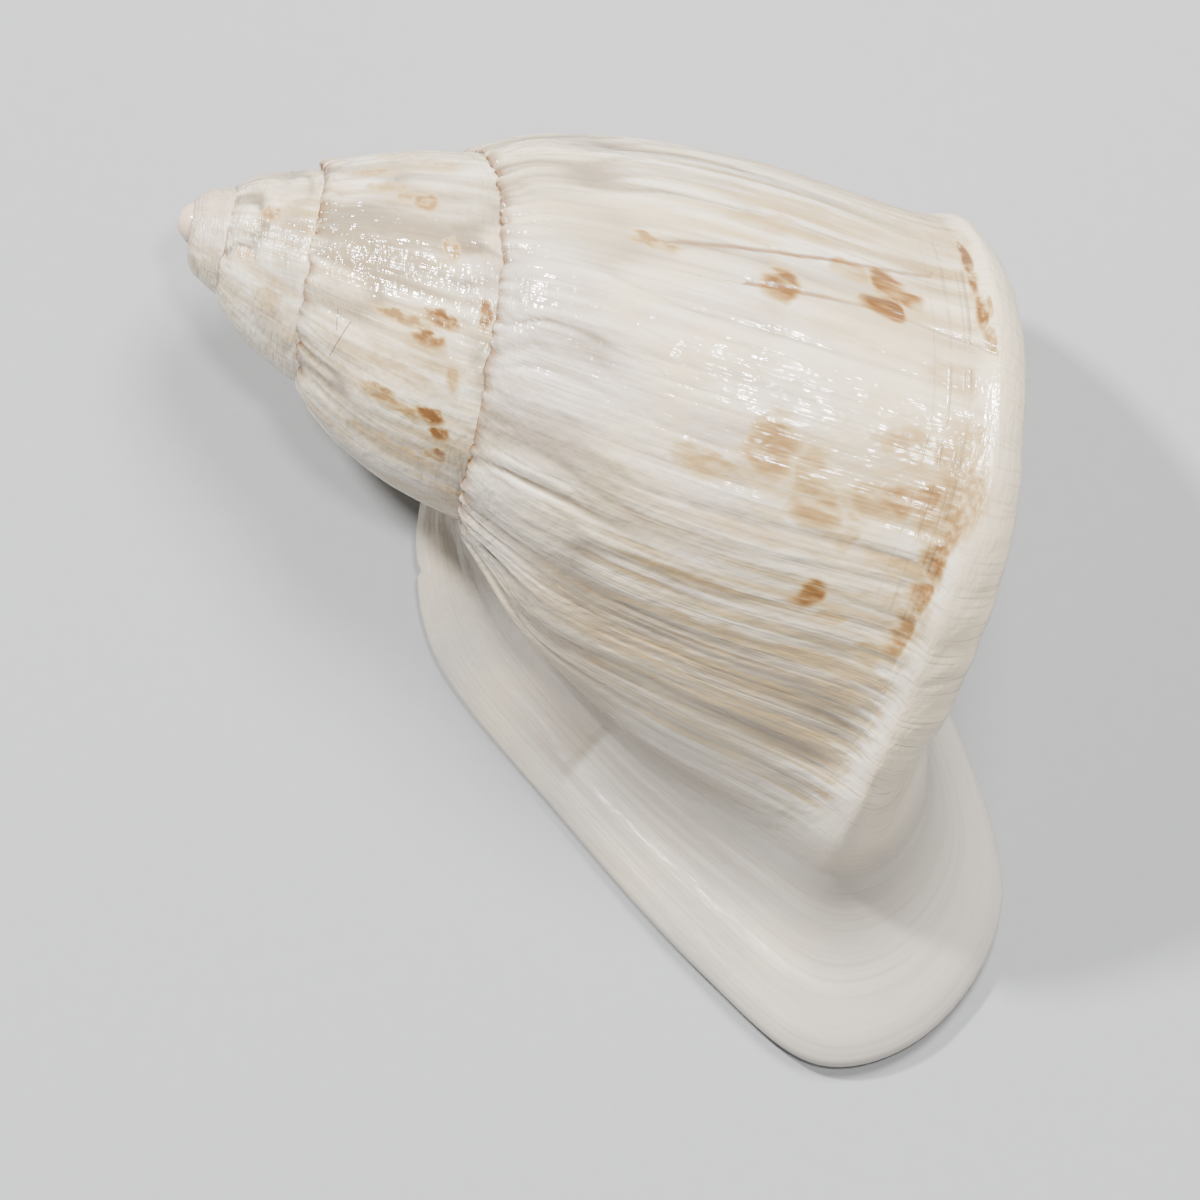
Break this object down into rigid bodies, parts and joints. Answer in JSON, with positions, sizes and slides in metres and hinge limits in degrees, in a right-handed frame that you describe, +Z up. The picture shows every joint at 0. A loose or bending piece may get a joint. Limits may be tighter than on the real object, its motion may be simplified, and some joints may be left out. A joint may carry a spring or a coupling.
{
  "type": "land snail shell",
  "caption": "Empty land snail shell with a tapered spire, one large last whorl and a wide flared ear-shaped lip; it lies mouth down on the lip.",
  "frame": {"origin": "Middle of the shell's length and width, on the surface it lies on.", "axes": "+X runs along the coiling axis from the apex to the base, +Y from the mouth's side to the right side of the last whorl, +Z up through the back."},
  "size_m": [0.0598, 0.0516, 0.0258],
  "materials": {
    "shell": "gloss"
  },
  "bodies": {
    "root": {"shell": "shell"}
  },
  "joints": []
}
